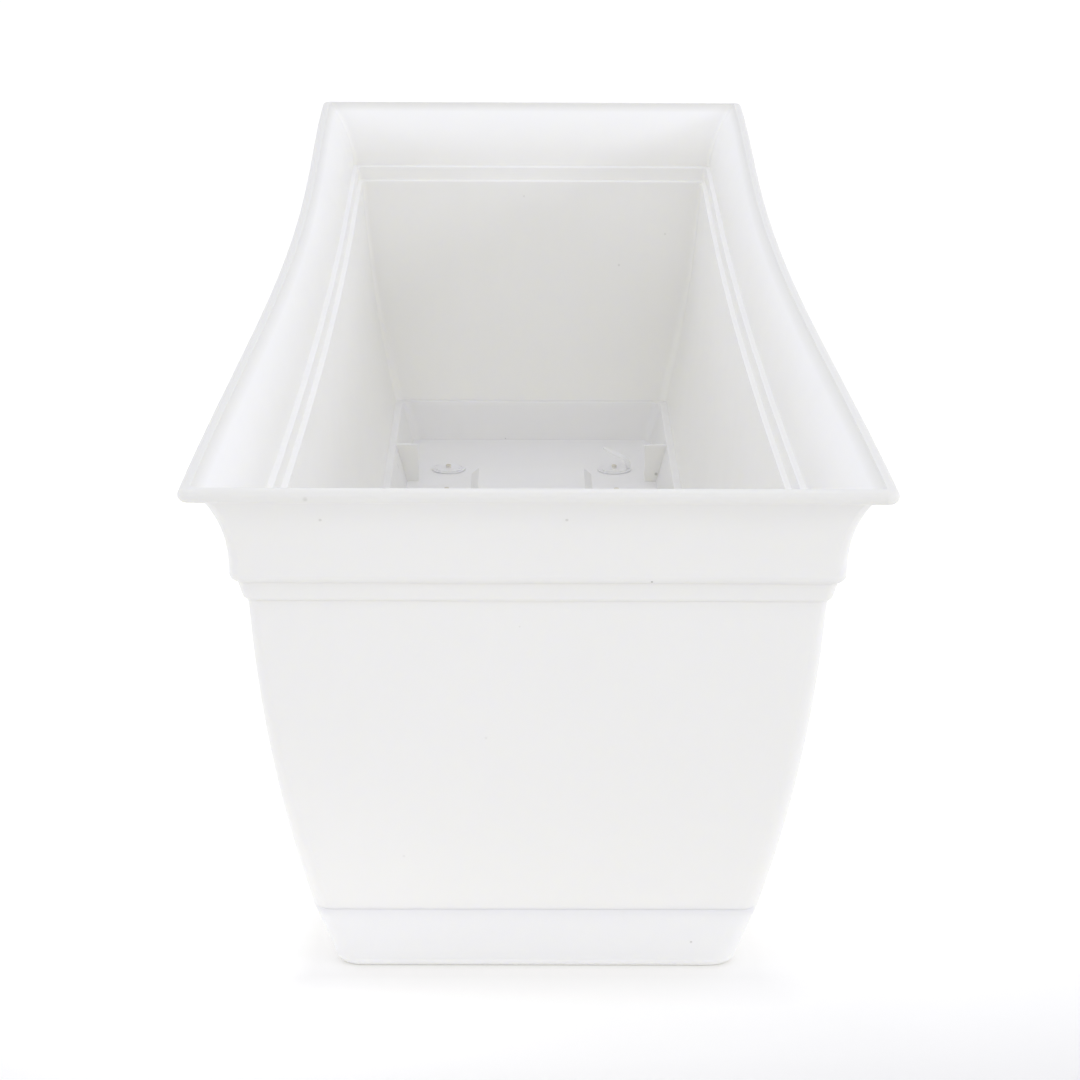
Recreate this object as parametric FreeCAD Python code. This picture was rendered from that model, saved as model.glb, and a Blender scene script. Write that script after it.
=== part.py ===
import FreeCAD, Part
import math
import os

# Self watering window-box planter: a thin-walled moulded box with a flared rim, a water tray that fits
# round its foot, and push-in drain plugs in the box's floor. A shoulder round the box's foot rests on the
# tray's rim, and water lies in the tray under the box's floor.
# Frame: +X across the width, +Y along the length, +Z up, origin on the ground under the centre.
# Wall profiles are lists of (inset, height): inset is measured inwards from the outermost edge of the rim,
# and is the same on all four sides.

V = FreeCAD.Vector

# Overall size, over the rim
LENGTH = 762.0
WIDTH = 232.0
HEIGHT = 188.0

# Box wall
WALL = 2.3
SHOULDER = (38.52, 25.5)
WALL_FOOT = (38.45, 25.7)
WALL_HEAD = (20.3, 142.0)
WALL_SWELL = 2.9
WALL_STEPS = 5

# Double band at the top of the wall
COVE_TOP = (20.0, 144.4)
BAND_LOW = (18.4, 146.4)
BAND_HIGH = (17.0, 151.6)
CHEEK_INSET = 14.6
CHEEK_FOOT_Z = 155.0
FLARE_FOOT_Z = 157.0
BAND_ROUND = 0.35
EDGE_STEPS = 4

# Flare and rolled lip
FLARE_RADIUS = 46.0
LIP_RADIUS = 2.35
LIP_UNDERSIDE_Z = HEIGHT - 2 * LIP_RADIUS
LIP_OVERLAP = 0.5
FLARE_STEPS = 5
LIP_STEPS = 8

# The long sides bow inwards in plan, most at the middle of the length
WALL_BOW = 4.5
WALL_BOW_POWER = 1.2
LIP_BOW = 4.1
LIP_BOW_POWER = 2.4
BOW_SPANS = 10

# Corner radii in plan
CORNER_TOP = 3.5
CORNER_GROWTH = 4.5
LIP_CORNER = 4.2
CORNER_LEAST = 2.2

# Inner face: wall, band and flare, with a narrow ledge under the band and another above it
LEDGE_Z = 27.0
INNER_FOOT = (40.4, LEDGE_Z)
INNER_HEAD = (22.3, 147.2)
INNER_BAND_LOW = (20.1, 147.9)
INNER_BAND_HIGH = (19.6, 154.6)
INNER_FLARE_FOOT = (17.4, 155.3)
MOUTH_INSET = 4.4
MOUTH_Z = 187.2
MOUTH_CHAMFER = 1.0
FLARE_INSIDE_SAG = 2.9

# Rebate for the tray's lip, and the sunken floor
REBATE_TOP = (39.9, 25.5)
REBATE_FOOT = (40.6, 23.4)
SKIRT_TOP = (41.8, 23.4)
SKIRT_FOOT = (47.7, 5.0)
WELL_TOP = (44.2, LEDGE_Z)
WELL_FOOT = (49.8, 6.9)
FLOOR_TOP_Z = WELL_FOOT[1]
FLOOR_UNDER_Z = SKIRT_FOOT[1]

# Hollow platform along the middle of the floor
PLATFORM_RISE = 4.4
PLATFORM_HALF_WIDTH = 28.0
PLATFORM_HALF_LENGTH = 259.0
PLATFORM_DRAFT = 4.0

# Stiffening ribs across the sunken floor's long sides, near its ends
RIB_INNER_X = 60.0
RIB_Y = 250.0
RIB_THICKNESS = 2.2

# Drain holes and their plugs
PLUG_X = 44.6
PLUG_ROWS = (-271.0, -227.0, 227.0, 271.0)
HOLE_RADIUS = 7.0
RUNNING_CLEARANCE = 0.08
SEAT_GAP = 0.06
HEAD_RADIUS = 9.0
HEAD_THICKNESS = 0.5
HEAD_RING_WIDTH = 1.2
HEAD_RING_HEIGHT = 0.2
STEM_REACH = 0.6
STEM_WALL = 1.6
NUB_RADIUS = 1.4
NUB_HEIGHT = 2.2
EDGE_BREAK = 0.12

# Water tray
TRAY_WALL = 2.0
TRAY_FLOOR = 2.2
TRAY_RIM = (38.6, SHOULDER[1] - SEAT_GAP)
TRAY_TOP = (38.55, 25.2)
TRAY_FOOT = (45.7, 3.0)
TRAY_BASE = (48.2, 0.0)
TRAY_BASE_ROUND = 0.8
TRAY_LIP = 1.0
TRAY_LIP_DEPTH = 2.0

# How far a cutting or joining shape runs past the face it meets
MARGIN = 1.0


def bulged(start, end, sagitta, count):
    """Points on a circular arc going up from start to end. It bulges outwards (to smaller insets) by
    sagitta, or inwards where sagitta is negative."""
    chord = math.dist(start, end)
    along = ((end[0] - start[0]) / chord, (end[1] - start[1]) / chord)
    outwards = (-along[1], along[0])
    radius = (chord ** 2 / 4 + sagitta ** 2) / (2 * abs(sagitta))
    points = []
    for k in range(count + 1):
        run = chord * (k / count - 0.5)
        bulge = math.sqrt(radius ** 2 - run ** 2) - (radius - abs(sagitta))
        rise = math.copysign(bulge, sagitta)
        inset = start[0] + (run + chord / 2) * along[0] + rise * outwards[0]
        height = start[1] + (run + chord / 2) * along[1] + rise * outwards[1]
        points.append((inset, height))
    return points


def side_bow(u, z):
    """How far a long side lies inside its straight line, at u from -1 to 1 along it and at height z."""
    wall_share = min(max((z - WALL_FOOT[1]) / (WALL_HEAD[1] - WALL_FOOT[1]), 0.0), 1.0)
    lip_share = min(max((z - FLARE_FOOT_Z) / (LIP_UNDERSIDE_Z - FLARE_FOOT_Z), 0.0), 1.0) ** 2
    swell = max(1.0 - u * u, 0.0)
    return WALL_BOW * wall_share * swell ** WALL_BOW_POWER + LIP_BOW * lip_share * swell ** LIP_BOW_POWER


def long_side(x, half, z):
    """A long side's edge in plan, from y = -half to y = half, bowed towards the centre line."""
    inwards = -math.copysign(1.0, x)
    points = []
    for k in range(BOW_SPANS + 1):
        u = 2.0 * k / BOW_SPANS - 1.0
        points.append(V(x + inwards * side_bow(u, z), u * half, z))
    curve = Part.BSplineCurve()
    curve.interpolate(points)
    return curve.toShape()


def corner_arc(cx, cy, z, radius, start_degrees):
    """A quarter circle in plan, anticlockwise from start_degrees."""
    ends = [math.radians(start_degrees + step) for step in (0, 45, 90)]
    points = [V(cx + radius * math.cos(a), cy + radius * math.sin(a), z) for a in ends]
    return Part.Arc(*points).toShape()


def hoop(inset, z, corner, bowed):
    """The closed outline of the planter at one height."""
    hx = WIDTH / 2 - inset
    hy = LENGTH / 2 - inset
    sx = hx - corner
    sy = hy - corner
    if bowed:
        right = long_side(hx, sy, z)
        left = long_side(-hx, sy, z)
    else:
        right = Part.LineSegment(V(hx, -sy, z), V(hx, sy, z)).toShape()
        left = Part.LineSegment(V(-hx, -sy, z), V(-hx, sy, z)).toShape()
    edges = [
        right,
        corner_arc(sx, sy, z, corner, 0),
        Part.LineSegment(V(sx, hy, z), V(-sx, hy, z)).toShape(),
        corner_arc(-sx, sy, z, corner, 90),
        left,
        corner_arc(-sx, -sy, z, corner, 180),
        Part.LineSegment(V(-sx, -hy, z), V(sx, -hy, z)).toShape(),
        corner_arc(sx, -sy, z, corner, 270),
    ]
    return Part.Wire(Part.__sortEdges__(edges))


def wall_corner(z, offset):
    """Corner radius of a wall in plan: small at the rim, larger towards the ground, less on an inner face."""
    growth = CORNER_GROWTH * max(1.0 - z / WALL_HEAD[1], 0.0)
    return max(CORNER_TOP + growth - offset, CORNER_LEAST)


def stack(runs, offset, bowed):
    """A solid filled out to a profile: each run of points is one smooth or straight stage of it."""
    stages = []
    for points in runs:
        hoops = [hoop(inset, z, wall_corner(z, offset), bowed) for inset, z in points]
        straight = len(points) == 2
        stages.append(Part.makeLoft(hoops, True, straight))
    return stages[0].multiFuse(stages[1:]) if len(stages) > 1 else stages[0]


def outer_runs():
    """The outer face's stages from the shoulder up: wall, double band and cheek."""
    return [
        [SHOULDER, WALL_FOOT],
        bulged(WALL_FOOT, WALL_HEAD, WALL_SWELL, WALL_STEPS),
        [WALL_HEAD, COVE_TOP],
        bulged(COVE_TOP, BAND_LOW, BAND_ROUND, EDGE_STEPS),
        [BAND_LOW, BAND_HIGH],
        bulged(BAND_HIGH, (CHEEK_INSET, CHEEK_FOOT_Z), 2 * BAND_ROUND, EDGE_STEPS),
        [(CHEEK_INSET, CHEEK_FOOT_Z), (CHEEK_INSET, FLARE_FOOT_Z)],
    ]


def inner_runs():
    """The inner face's stages from the floor's ledge up: wall, ledge, band, ledge, flare and mouth."""
    flare_top = (MOUTH_INSET, MOUTH_Z)
    return [
        bulged(INNER_FOOT, INNER_HEAD, WALL_SWELL, WALL_STEPS),
        [INNER_HEAD, INNER_BAND_LOW],
        [INNER_BAND_LOW, INNER_BAND_HIGH],
        [INNER_BAND_HIGH, INNER_FLARE_FOOT],
        bulged(INNER_FLARE_FOOT, flare_top, -FLARE_INSIDE_SAG, FLARE_STEPS),
        [flare_top, (MOUTH_INSET - MOUTH_CHAMFER, HEIGHT + MARGIN)],
    ]


def flare_outside():
    """The outer face of the flare: an arc that starts upright, leans outwards and ends inside the lip."""
    points = []
    for k in range(FLARE_STEPS + 1):
        rise = (LIP_UNDERSIDE_Z + LIP_OVERLAP - FLARE_FOOT_Z) * k / FLARE_STEPS
        lean = FLARE_RADIUS - math.sqrt(FLARE_RADIUS ** 2 - rise ** 2)
        points.append((CHEEK_INSET - lean, FLARE_FOOT_Z + rise))
    return points


def rolled_lip():
    """The rounded edge that runs round the mouth of the box."""
    hoops = []
    for k in range(LIP_STEPS + 1):
        angle = math.radians(180.0 * k / LIP_STEPS - 90.0)
        inset = LIP_RADIUS * (1.0 - math.cos(angle))
        z = HEIGHT - LIP_RADIUS + LIP_RADIUS * math.sin(angle)
        hoops.append(hoop(inset, z, LIP_CORNER - inset, True))
    return Part.makeLoft(hoops, True, False)


def frustum(half_x, half_y, z_low, z_high, draft):
    """A block whose four sides lean in by draft from its foot to its top."""
    hoops = []
    for grow, z in ((draft, z_low), (0.0, z_high)):
        hx = half_x + grow
        hy = half_y + grow
        corners = [V(-hx, -hy, z), V(hx, -hy, z), V(hx, hy, z), V(-hx, hy, z), V(-hx, -hy, z)]
        hoops.append(Part.makePolygon(corners))
    return Part.makeLoft(hoops, True, True)


def cylinder(x, y, z_low, z_high, radius):
    """An upright cylinder."""
    return Part.makeCylinder(radius, z_high - z_low, V(x, y, z_low))


def plug_places():
    """The drain holes' centres: a pair in each row."""
    return [(side * PLUG_X, y) for y in PLUG_ROWS for side in (-1, 1)]


def box_outside():
    """The box filled in: skirt inside the tray, rebate, shoulder, wall, flare and lip."""
    skirt = stack([[SKIRT_FOOT, SKIRT_TOP], [REBATE_FOOT, REBATE_TOP]], 0.0, False)
    shell = stack(outer_runs() + [flare_outside()], 0.0, True)
    return skirt.multiFuse([shell, rolled_lip()])


def box_inside():
    """The room inside the box, from the sunken floor up through the mouth."""
    well = stack([[WELL_FOOT, WELL_TOP]], WALL, False)
    return well.fuse(stack(inner_runs(), WALL, True))


def floor_ribs(outside):
    """The low ribs that stand on the sunken floor, from its long sides inwards."""
    height = LEDGE_Z - FLOOR_TOP_Z + MARGIN
    width = WIDTH / 2 - SKIRT_TOP[0] - RIB_INNER_X
    ribs = []
    for low_x in (RIB_INNER_X, -RIB_INNER_X - width):
        for centre_y in (-RIB_Y, RIB_Y):
            corner = V(low_x, centre_y - RIB_THICKNESS / 2, FLOOR_TOP_Z - MARGIN)
            ribs.append(Part.makeBox(width, RIB_THICKNESS, height, corner).common(outside))
    return ribs


def make_planter_body():
    outside = box_outside()
    box = outside.cut(box_inside())

    platform = frustum(PLATFORM_HALF_WIDTH, PLATFORM_HALF_LENGTH,
                       FLOOR_TOP_Z, FLOOR_TOP_Z + PLATFORM_RISE, PLATFORM_DRAFT)
    box = box.multiFuse([platform] + floor_ribs(outside))

    under = frustum(PLATFORM_HALF_WIDTH - WALL / 2, PLATFORM_HALF_LENGTH - WALL / 2,
                    FLOOR_UNDER_Z - MARGIN, FLOOR_UNDER_Z + PLATFORM_RISE, PLATFORM_DRAFT)
    removals = [under]
    for x, y in plug_places():
        removals.append(cylinder(x, y, FLOOR_UNDER_Z - MARGIN, FLOOR_TOP_Z + MARGIN, HOLE_RADIUS))
    for removal in removals:
        box = box.cut(removal)
    return box.removeSplitter()


def make_drain_plug(x, y):
    """A flat cap with a raised ring, a pull nub in the middle and a hollow stem down through the floor."""
    seat = FLOOR_TOP_Z + SEAT_GAP
    cap_top = seat + HEAD_THICKNESS
    head = cylinder(x, y, seat, cap_top + HEAD_RING_HEIGHT, HEAD_RADIUS)
    dish = cylinder(x, y, cap_top, cap_top + HEAD_RING_HEIGHT + MARGIN, HEAD_RADIUS - HEAD_RING_WIDTH)
    nub = cylinder(x, y, cap_top - MARGIN, cap_top + NUB_HEIGHT, NUB_RADIUS)
    stem_radius = HOLE_RADIUS - RUNNING_CLEARANCE
    stem = cylinder(x, y, FLOOR_UNDER_Z - STEM_REACH, seat + MARGIN, stem_radius)
    hollow = cylinder(x, y, FLOOR_UNDER_Z - STEM_REACH - MARGIN, seat, stem_radius - STEM_WALL)
    head = head.cut(dish)
    rim_edges = [edge for edge in head.Edges if abs(edge.BoundBox.ZMax - cap_top - HEAD_RING_HEIGHT) < 1e-6
                 and edge.BoundBox.ZLength < 1e-6]
    head = head.makeFillet(EDGE_BREAK, rim_edges)
    nub_top = [edge for edge in nub.Edges if abs(edge.BoundBox.ZMin - cap_top - NUB_HEIGHT) < 1e-6]
    nub = nub.makeFillet(EDGE_BREAK, nub_top)
    return head.multiFuse([nub, stem]).cut(hollow).removeSplitter()


def make_water_tray():
    """A shallow tray that carries the box's outside on to the ground, with a thin lip round the box."""
    base_edge = bulged(TRAY_BASE, TRAY_FOOT, TRAY_BASE_ROUND, EDGE_STEPS)
    outside = stack([base_edge, [TRAY_FOOT, TRAY_TOP], [TRAY_TOP, TRAY_RIM]], 0.0, False)
    slope = (TRAY_FOOT[0] - TRAY_TOP[0]) / (TRAY_TOP[1] - TRAY_FOOT[1])
    step_z = TRAY_TOP[1] - TRAY_LIP_DEPTH
    step_inset = TRAY_TOP[0] + slope * TRAY_LIP_DEPTH
    floor_inset = TRAY_TOP[0] + slope * (TRAY_TOP[1] - TRAY_FLOOR) + TRAY_WALL
    hollow = [(floor_inset, TRAY_FLOOR), (step_inset + TRAY_WALL, step_z)]
    above = TRAY_TOP[1] + MARGIN
    lip = [(step_inset + TRAY_LIP, step_z), (TRAY_TOP[0] - slope * MARGIN + TRAY_LIP, above)]
    return outside.cut(stack([hollow, lip], TRAY_WALL, False)).removeSplitter()


def export(name, shape):
    solid = shape.Solids[0]
    if len(shape.Solids) != 1 or not solid.isValid():
        raise ValueError(name + " is not one valid solid")
    solid.exportStep(os.path.join("parts", name + ".step"))
    print(name, "volume cm3", round(solid.Volume / 1000.0, 1))


os.makedirs("parts", exist_ok=True)
export("planter_body", make_planter_body())
export("water_tray", make_water_tray())
for number, (plug_x, plug_y) in enumerate(plug_places(), start=1):
    export("drain_plug_" + str(number), make_drain_plug(plug_x, plug_y))
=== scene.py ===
import math

import bmesh
import bpy
from mathutils import Matrix, Vector


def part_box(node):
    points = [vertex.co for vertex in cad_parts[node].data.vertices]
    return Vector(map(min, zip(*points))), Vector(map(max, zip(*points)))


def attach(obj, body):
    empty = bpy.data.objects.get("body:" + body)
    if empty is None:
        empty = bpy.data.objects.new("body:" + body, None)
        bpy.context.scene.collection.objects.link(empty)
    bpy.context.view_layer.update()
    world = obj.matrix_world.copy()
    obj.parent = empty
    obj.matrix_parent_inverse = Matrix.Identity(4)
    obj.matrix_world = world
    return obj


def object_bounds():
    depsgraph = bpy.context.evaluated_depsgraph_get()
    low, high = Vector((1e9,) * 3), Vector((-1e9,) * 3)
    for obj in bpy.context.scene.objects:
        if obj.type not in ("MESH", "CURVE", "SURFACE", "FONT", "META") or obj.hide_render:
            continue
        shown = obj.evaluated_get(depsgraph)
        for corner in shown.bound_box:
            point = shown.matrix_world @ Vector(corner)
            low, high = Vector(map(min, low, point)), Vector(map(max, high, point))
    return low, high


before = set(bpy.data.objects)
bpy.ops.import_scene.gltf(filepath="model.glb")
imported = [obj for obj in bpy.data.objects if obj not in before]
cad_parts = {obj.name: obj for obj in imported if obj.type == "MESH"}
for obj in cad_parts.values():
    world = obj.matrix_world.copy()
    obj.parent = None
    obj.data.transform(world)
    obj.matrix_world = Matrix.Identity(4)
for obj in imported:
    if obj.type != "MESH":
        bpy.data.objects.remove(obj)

# A white moulded window-box planter on a white sweep, in high-key light. Metres, in the frame's axes.
LOW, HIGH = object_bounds()
PLUGS = [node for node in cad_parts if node.startswith("drain_plug")]
ACROSS = (1.0, 0.0, 0.0)
ALONG = (0.0, 1.0, 0.0)
UPWARD = (0.0, 0.0, 1.0)
WHITE = (1.0, 1.0, 1.0)

# Camera, from the middle of the near rim: sideways, back and up
CAMERA_SIDE = -0.0059
CAMERA_BACK = 0.9414
CAMERA_RISE = 0.2796
CAMERA_PITCH = math.radians(17.435)
CAMERA_YAW = math.radians(0.387)
CAMERA_ROLL = math.radians(0.2755)
CAMERA_LENS_MM = 102.5
CAMERA_SENSOR_MM = 36.0
CAMERA_CLIP = (0.05, 100.0)

# Floor, with a ring of glow round the object, stronger on the left and none at the tray's foot, and a glow
# that comes in along the length, past the near end
FLOOR_SIDE = 40.0
FLOOR_SEGMENTS = 8
FLOOR_COLOUR = (0.765, 0.755, 0.72)
FLOOR_ROUGHNESS = 0.7
FLOOR_RING_GLOW = 0.13
FLOOR_RING_REACH = (0.02, 0.16)
FLOOR_RING_LEAN = (1.6, 0.55)
FLOOR_CONTACT_REACH = (0.0, 0.025)
FLOOR_CONTACT_SHARE = 0.0
FLOOR_BACK_GLOW = 0.30
FLOOR_BACK_REACH = (-0.45, -0.25)

# Light from the room's ceiling and walls, as (direction, sharpness, strength), on top of an even glow
LIGHT_COLOUR = (0.912, 0.924, 1.0)
ROOM_LOBES = [
    ((0.0, 0.0, 1.0), 2.0, 0.30),
    ((1.0, 0.0, 0.35), 2.0, 0.47),
    ((-1.0, 0.0, 0.35), 2.0, 0.47),
    ((0.0, 1.0, 0.35), 2.0, 0.19),
]
ROOM_GLOW = 0.64

# Softboxes as (name, place, size, watts): a small one to each side, a wide one above and behind the viewer.
# They face a point over the origin, at a share of the object's height.
SOFTBOXES = [
    ("right_softbox", (2.6, -1.6, 1.3), (0.6, 0.6), 12.4),
    ("left_softbox", (-2.6, -1.6, 1.3), (0.6, 0.6), 6.0),
    ("front_softbox", (0.3, -2.8, 1.9), (2.2, 1.3), 7.4),
]
SOFTBOX_AIM_SHARE = 0.7

# Plastics: each one's whites, plain and dulled, and its roughness
BOX_WHITES = ((0.892, 0.883, 0.851), (0.879, 0.871, 0.837))
BOX_ROUGHNESS = 0.42
# The tray's whites are raised above the box's as painted light, standing in for bounce from the bright floor
# below
TRAY_WHITES_WITH_PAINTED_LIGHT = ((0.932, 0.924, 0.893), (0.920, 0.914, 0.881))
TRAY_ROUGHNESS = 0.38
PLUG_WHITES = ((0.897, 0.888, 0.860), (0.884, 0.876, 0.846))
PLUG_ROUGHNESS = 0.38

# What all plastics share. Each noise is (waves per metre, detail); its range is the values that count.
CLOUD_NOISE = (7.0, 3.0)
CLOUD_RANGE = (0.35, 0.65)
FLOW_NOISE = (1.0, 2.0)
FLOW_STRETCH = (140.0, 140.0, 9.0)
FLOW_RANGE = (0.45, 0.75)
FLOW_STRENGTH = 0.35
GLOSS_NOISE = (60.0, 4.0)
GLOSS_RANGE = (0.3, 0.7)
GLOSS_SPREAD = (-0.04, 0.05)
WAVE_NOISE = (26.0, 1.0)
WAVE_DEPTH = 0.00012
GRAIN_NOISE = (1500.0, 2.0)
GRAIN_DEPTH = 0.00001
PLASTIC_IOR = 1.49
TRANSLUCENCE = 0.5
SCATTER_REACH = 0.002
SCATTER_SHARES = (1.0, 1.0, 0.8)

# Painted shade: a dull tint that comes in towards the rim's top edge, between two heights, darkening the top
# of the rim where little light falls from above
RIM_PAINTED_SHADE = (0.78, 0.77, 0.72)
RIM_PAINTED_SHADE_HEIGHTS = (0.1836, 0.1872)

# Stray specks fall anywhere; the cores are the share of a spot's radius that is at full strength
STRAY_SPECKS_PER_METRE = 30.0
STRAY_SPECK_RADIUS = 0.0004
STRAY_SPECK_STRENGTH = 0.4
STRAY_SPECK_CORE = 0.6
SPECK_CORE = 0.4
SPECK_COLOUR = (0.30, 0.29, 0.25)

# Specks of dirt as (place, radius, strength): on the near end's rim, band and wall, then inside the far end
BOX_SPECKS = [
    ((-0.0747, -0.3810, 0.1854), 0.0010, 0.35),
    ((-0.0707, -0.3702, 0.1751), 0.0007, 0.25),
    ((0.0092, -0.3703, 0.1754), 0.0007, 0.30),
    ((0.0373, -0.3657, 0.1528), 0.0005, 0.80),
    ((-0.0172, -0.3560, 0.0943), 0.0006, 0.12),
    ((-0.0455, -0.3477, 0.0477), 0.0006, 0.12),
    ((-0.0043, 0.3587, 0.1392), 0.0010, 0.25),
    ((0.0486, 0.3548, 0.1013), 0.0009, 0.25),
    ((0.0740, 0.3569, 0.1185), 0.0009, 0.25),
    ((-0.0701, 0.2287, 0.0209), 0.0020, 0.20),
    ((0.0663, 0.2489, 0.0111), 0.0011, 0.50),
]
RUST_SPECK = ((-0.0708, 0.2470, 0.0234), 0.0010, 0.60)
RUST_COLOUR = (0.50, 0.20, 0.12)
TRAY_SPECKS = [((0.0543, -0.3379, 0.0111), 0.0006, 0.40)]
# A brownish darkening on top of each plug's nub, fading out at a radius
NUB_SPOT_COLOUR = (0.45, 0.38, 0.20)
NUB_SPOT_RADIUS = 0.0024
NUB_SPOT_STRENGTH = 0.6

# A shred of moulding flash that curls up from one plug's right edge. Its path's control points are measured
# from the middle of the nub's top. Its flat side looks along CURL_FACE, apart from a twist that changes from
# the root to the tip, and it narrows towards the tip.
CURL_PATH = [
    (0.0080, 0.0, -0.0022),
    (0.0080, 0.0005, 0.0055),
    (0.0010, 0.0010, 0.0050),
    (-0.0060, 0.0015, 0.0095),
]
CURL_FACE = (0.1, -0.85, 0.5)
CURL_TWIST = (math.radians(-35.0), math.radians(40.0))
CURL_WIDTH = 0.0027
CURL_NARROWING = 0.5
CURL_THICKNESS = 0.0004
CURL_STEPS = 30
CURL_SLOPE_STEP = 0.01


def add_camera():
    """The camera looks down on the near end, a little from the left, and leans a touch to the left."""
    ahead = Vector((math.sin(CAMERA_YAW) * math.cos(CAMERA_PITCH),
                    math.cos(CAMERA_YAW) * math.cos(CAMERA_PITCH),
                    -math.sin(CAMERA_PITCH)))
    level = Vector((math.cos(CAMERA_YAW), -math.sin(CAMERA_YAW), 0.0))
    upright = level.cross(ahead)
    right = level * math.cos(CAMERA_ROLL) + upright * math.sin(CAMERA_ROLL)
    up = right.cross(ahead)
    data = bpy.data.cameras.new("camera")
    data.lens = CAMERA_LENS_MM
    data.sensor_width = CAMERA_SENSOR_MM
    data.clip_start, data.clip_end = CAMERA_CLIP
    camera = bpy.data.objects.new("camera", data)
    turn = Matrix((right, up, -ahead)).transposed()
    place = Vector((CAMERA_SIDE, LOW.y - CAMERA_BACK, HIGH.z + CAMERA_RISE))
    camera.matrix_world = Matrix.Translation(place) @ turn.to_4x4()
    bpy.context.scene.collection.objects.link(camera)
    bpy.context.scene.camera = camera


def add_softbox(name, place, size, watts):
    """A rectangular softbox that faces the upper half of the object."""
    data = bpy.data.lights.new(name, "AREA")
    data.shape = "RECTANGLE"
    data.size, data.size_y = size
    data.energy = watts
    data.color = LIGHT_COLOUR
    light = bpy.data.objects.new(name, data)
    light.location = place
    light.rotation_mode = "QUATERNION"
    aim = Vector((0.0, 0.0, HIGH.z * SOFTBOX_AIM_SHARE))
    light.rotation_quaternion = (aim - Vector(place)).to_track_quat("-Z", "Y")
    bpy.context.scene.collection.objects.link(light)


class Nodes:
    """Short ways to add nodes to one shader tree."""

    def __init__(self, tree, coordinates):
        self.tree = tree
        self.place = tree.nodes.new("ShaderNodeTexCoord").outputs[coordinates]

    def link(self, source, target):
        self.tree.links.new(source, target)

    def stretched(self, scales):
        """The coordinates, scaled differently along each axis."""
        mapping = self.tree.nodes.new("ShaderNodeMapping")
        mapping.inputs["Scale"].default_value = scales
        self.link(self.place, mapping.inputs["Vector"])
        return mapping.outputs["Vector"]

    def vector(self, operation, first, second=None):
        """Vector arithmetic on a node's output and a plain vector; a length or a dot product is a number."""
        node = self.tree.nodes.new("ShaderNodeVectorMath")
        node.operation = operation
        self.link(first, node.inputs[0])
        if second is not None:
            node.inputs[1].default_value = second
        return node.outputs["Value" if operation in ("LENGTH", "DOT_PRODUCT") else "Vector"]

    def number(self, operation, first, second):
        """Arithmetic on two numbers; either may be a plain number or another node's output."""
        node = self.tree.nodes.new("ShaderNodeMath")
        node.operation = operation
        for socket, value in zip(node.inputs, (first, second)):
            if isinstance(value, float):
                socket.default_value = value
            else:
                self.link(value, socket)
        return node.outputs["Value"]

    def beyond(self, half_width, half_length):
        """The distance over the floor from a rectangle round the origin."""
        outside = self.vector("SUBTRACT", self.vector("ABSOLUTE", self.place), (half_width, half_length, 0.0))
        return self.vector("LENGTH", self.vector("MAXIMUM", outside, (0.0, 0.0, 0.0)))

    def noise(self, scale, detail, place=None):
        """Smooth noise from 0 to 1, in the tree's own coordinates unless others are given."""
        node = self.tree.nodes.new("ShaderNodeTexNoise")
        node.inputs["Scale"].default_value = scale
        node.inputs["Detail"].default_value = detail
        self.link(place or self.place, node.inputs["Vector"])
        return node.outputs["Fac"]

    def stray_spots(self, per_metre, radius):
        """1 in small round spots scattered through space, 0 elsewhere."""
        node = self.tree.nodes.new("ShaderNodeTexVoronoi")
        node.inputs["Scale"].default_value = per_metre
        self.link(self.place, node.inputs["Vector"])
        edge = radius * per_metre
        return self.ranged(node.outputs["Distance"], edge * STRAY_SPECK_CORE, edge, 1.0, 0.0)

    def spot(self, place, radius, strength):
        """The strength at a place, fading to 0 at the radius."""
        away = self.vector("LENGTH", self.vector("SUBTRACT", self.place, place))
        return self.ranged(away, radius * SPECK_CORE, radius, strength, 0.0)

    def ranged(self, value, low, high, out_low, out_high):
        """A value brought from low..high into out_low..out_high, and held within it."""
        node = self.tree.nodes.new("ShaderNodeMapRange")
        node.inputs["From Min"].default_value = low
        node.inputs["From Max"].default_value = high
        node.inputs["To Min"].default_value = out_low
        node.inputs["To Max"].default_value = out_high
        self.link(value, node.inputs["Value"])
        return node.outputs["Result"]

    def mixed(self, share, first, second):
        """Two colours mixed by share; either may be a plain colour or another node's output."""
        node = self.tree.nodes.new("ShaderNodeMix")
        node.data_type = "RGBA"
        self.link(share, node.inputs["Factor"])
        sockets = [socket for socket in node.inputs if socket.type == "RGBA"]
        for socket, colour in zip(sockets, (first, second)):
            if isinstance(colour, tuple):
                socket.default_value = (*colour, 1.0)
            else:
                self.link(colour, socket)
        return next(socket for socket in node.outputs if socket.type == "RGBA")

    def bump(self, height, depth, below=None):
        """A surface tilted by a height map, on top of another such surface if one is given."""
        node = self.tree.nodes.new("ShaderNodeBump")
        node.inputs["Strength"].default_value = 1.0
        node.inputs["Distance"].default_value = depth
        self.link(height, node.inputs["Height"])
        if below is not None:
            self.link(below, node.inputs["Normal"])
        return node.outputs["Normal"]


class Material(Nodes):
    """One new material with a Principled surface, in object coordinates."""

    def __init__(self, name):
        self.material = bpy.data.materials.new(name)
        self.material.use_nodes = True
        super().__init__(self.material.node_tree, "Object")
        self.surface = self.tree.nodes["Principled BSDF"]


def add_room():
    """The white room around the object: an even glow, plus a soft lobe of light from each direction."""
    world = bpy.data.worlds.new("room")
    world.use_nodes = True
    made = Nodes(world.node_tree, "Generated")
    light = ROOM_GLOW
    for towards, sharpness, strength in ROOM_LOBES:
        facing = made.vector("DOT_PRODUCT", made.place, Vector(towards).normalized())
        lobe = made.number("POWER", made.number("MAXIMUM", facing, 0.0), sharpness)
        light = made.number("ADD", made.number("MULTIPLY", lobe, strength), light)
    background = made.tree.nodes["Background"]
    background.inputs["Color"].default_value = (*LIGHT_COLOUR, 1.0)
    made.link(light, background.inputs["Strength"])
    bpy.context.scene.world = world


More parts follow.
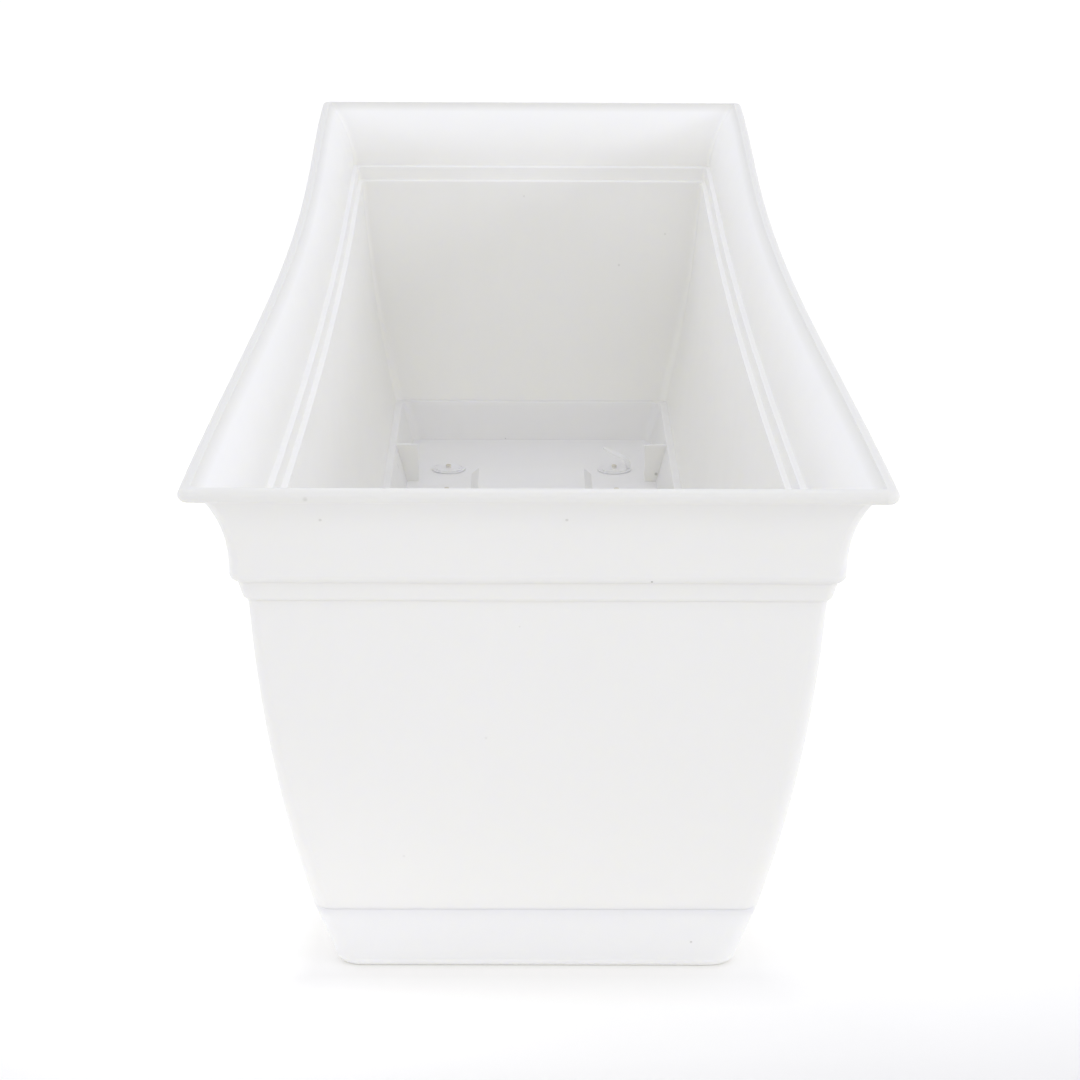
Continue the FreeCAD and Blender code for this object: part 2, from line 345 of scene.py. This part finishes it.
def add_floor():
    """A white sweep that glows as an overexposed table does, except where the tray shades it."""
    mesh = bpy.data.meshes.new("floor")
    shape = bmesh.new()
    bmesh.ops.create_grid(shape, x_segments=FLOOR_SEGMENTS, y_segments=FLOOR_SEGMENTS, size=FLOOR_SIDE / 2)
    shape.to_mesh(mesh)
    shape.free()
    floor = bpy.data.objects.new("floor", mesh)
    bpy.context.scene.collection.objects.link(floor)
    made = Material("floor_white")
    made.surface.inputs["Base Color"].default_value = (*FLOOR_COLOUR, 1.0)
    made.surface.inputs["Roughness"].default_value = FLOOR_ROUGHNESS
    from_rim = made.beyond(HIGH.x, HIGH.y)
    ring = made.ranged(from_rim, *FLOOR_RING_REACH, FLOOR_RING_GLOW, 0.0)
    tray_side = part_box("water_tray")[1]
    from_tray = made.beyond(tray_side[0], tray_side[1])
    contact = made.ranged(from_tray, *FLOOR_CONTACT_REACH, FLOOR_CONTACT_SHARE, 1.0)
    sideways = made.vector("DOT_PRODUCT", made.place, ACROSS)
    lean = made.ranged(sideways, LOW.x, HIGH.x, *FLOOR_RING_LEAN)
    ring = made.number("MULTIPLY", made.number("MULTIPLY", ring, contact), lean)
    backward = made.vector("DOT_PRODUCT", made.place, ALONG)
    back = made.ranged(backward, *FLOOR_BACK_REACH, 0.0, FLOOR_BACK_GLOW)
    made.surface.inputs["Emission Color"].default_value = (*WHITE, 1.0)
    made.link(made.number("ADD", ring, back), made.surface.inputs["Emission Strength"])
    mesh.materials.append(made.material)


def moulded_plastic(name, whites, roughness, specks):
    """
    White moulded plastic: faint clouds and flow lines, a fine matt grain, a slight waviness, specks of dirt.
    The colour comes back beside the material, so that more can be laid over it before it is linked.
    """
    plain, dulled = whites
    made = Material(name)
    clouds = made.ranged(made.noise(*CLOUD_NOISE), *CLOUD_RANGE, 0.0, 1.0)
    flow = made.noise(*FLOW_NOISE, made.stretched(FLOW_STRETCH))
    flow = made.ranged(flow, *FLOW_RANGE, 0.0, FLOW_STRENGTH)
    colour = made.mixed(flow, made.mixed(clouds, plain, dulled), dulled)
    stray = made.stray_spots(STRAY_SPECKS_PER_METRE, STRAY_SPECK_RADIUS)
    dirt = made.number("MULTIPLY", stray, STRAY_SPECK_STRENGTH)
    for speck in specks:
        dirt = made.number("MAXIMUM", dirt, made.spot(*speck))
    colour = made.mixed(dirt, colour, SPECK_COLOUR)
    smoothest, roughest = (roughness + spread for spread in GLOSS_SPREAD)
    gloss = made.ranged(made.noise(*GLOSS_NOISE), *GLOSS_RANGE, smoothest, roughest)
    made.link(gloss, made.surface.inputs["Roughness"])
    waves = made.bump(made.noise(*WAVE_NOISE), WAVE_DEPTH)
    grain = made.bump(made.noise(*GRAIN_NOISE), GRAIN_DEPTH, waves)
    made.link(grain, made.surface.inputs["Normal"])
    made.surface.inputs["IOR"].default_value = PLASTIC_IOR
    made.surface.inputs["Subsurface Weight"].default_value = TRANSLUCENCE
    made.surface.inputs["Subsurface Radius"].default_value = SCATTER_SHARES
    made.surface.inputs["Subsurface Scale"].default_value = SCATTER_REACH
    return made, colour


def box_plastic():
    """The box's own plastic, with painted shade on the rim's top edge, the dirt on it and one rusty speck."""
    made, colour = moulded_plastic("box_plastic", BOX_WHITES, BOX_ROUGHNESS, BOX_SPECKS)
    colour = made.mixed(made.spot(*RUST_SPECK), colour, RUST_COLOUR)
    height = made.vector("DOT_PRODUCT", made.place, UPWARD)
    # Painted shade: the rim's top edge darkened above a given height, for the weak light from above
    colour = made.mixed(made.ranged(height, *RIM_PAINTED_SHADE_HEIGHTS, 0.0, 1.0), colour, RIM_PAINTED_SHADE)
    made.link(colour, made.surface.inputs["Base Color"])
    return made.material


def tray_plastic():
    """The tray's plastic, whiter than the box's as painted light for bounce from the bright floor below, with
    one speck.
    """
    made, colour = moulded_plastic("tray_plastic", TRAY_WHITES_WITH_PAINTED_LIGHT, TRAY_ROUGHNESS, TRAY_SPECKS)
    made.link(colour, made.surface.inputs["Base Color"])
    return made.material


def plug_plastic():
    """The plugs' plastic, darkened to brown in a small spot on top of the nub in each one's middle."""
    made, colour = moulded_plastic("plug_plastic", PLUG_WHITES, PLUG_ROUGHNESS, [])
    # A brownish darkening on top of each nub
    nub_spot = None
    for name in PLUGS:
        low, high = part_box(name)
        middle = (Vector(low) + Vector(high)) / 2
        spot = made.spot((middle.x, middle.y, high[2]), NUB_SPOT_RADIUS, NUB_SPOT_STRENGTH)
        nub_spot = spot if nub_spot is None else made.number("MAXIMUM", nub_spot, spot)
    made.link(made.mixed(nub_spot, colour, NUB_SPOT_COLOUR), made.surface.inputs["Base Color"])
    return made.material


def bezier(points, t):
    """A point on the cubic Bezier curve through the first and last of four points, at t from 0 to 1."""
    while len(points) > 1:
        points = [first.lerp(second, t) for first, second in zip(points, points[1:])]
    return points[0]


def add_flash_curl(node, body, material):
    """A thin ribbon of torn plastic that curls up and over from the right edge of one drain plug."""
    low, high = (Vector(corner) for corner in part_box(node))
    nub_top = Vector(((low.x + high.x) / 2, (low.y + high.y) / 2, high.z))
    path = [nub_top + Vector(point) for point in CURL_PATH]
    shape = bmesh.new()
    rings = []
    for k in range(CURL_STEPS + 1):
        t = k / CURL_STEPS
        middle = bezier(path, t)
        ahead = bezier(path, min(t + CURL_SLOPE_STEP, 1.0))
        along = (ahead - bezier(path, max(t - CURL_SLOPE_STEP, 0.0))).normalized()
        twist = Matrix.Rotation(CURL_TWIST[0] + (CURL_TWIST[1] - CURL_TWIST[0]) * t, 3, along)
        across = twist @ along.cross(Vector(CURL_FACE)).normalized()
        side = across * CURL_WIDTH * (1.0 - CURL_NARROWING * t * t) / 2
        thick = along.cross(across) * CURL_THICKNESS / 2
        corners = (middle - side - thick, middle + side - thick, middle + side + thick, middle - side + thick)
        rings.append([shape.verts.new(corner) for corner in corners])
    for first, second in zip(rings, rings[1:]):
        for k in range(len(first)):
            after = (k + 1) % len(first)
            shape.faces.new((first[k], first[after], second[after], second[k]))
    shape.faces.new(rings[0])
    shape.faces.new(rings[-1])
    bmesh.ops.recalc_face_normals(shape, faces=shape.faces)
    mesh = bpy.data.meshes.new("flash_curl")
    shape.to_mesh(mesh)
    shape.free()
    mesh.materials.append(material)
    curl = bpy.data.objects.new("flash_curl", mesh)
    bpy.context.scene.collection.objects.link(curl)
    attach(curl, body)


def dress(node, material):
    """Gives a node one material, in place of any it has."""
    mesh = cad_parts[node].data
    mesh.materials.clear()
    mesh.materials.append(material)


bpy.context.scene.view_settings.view_transform = "Standard"
add_camera()
add_room()
for softbox in SOFTBOXES:
    add_softbox(*softbox)
add_floor()
soft_plastic = plug_plastic()
dress("planter_body", box_plastic())
dress("water_tray", tray_plastic())
for plug in PLUGS:
    dress(plug, soft_plastic)
add_flash_curl("drain_plug_8", "plug_8", soft_plastic)
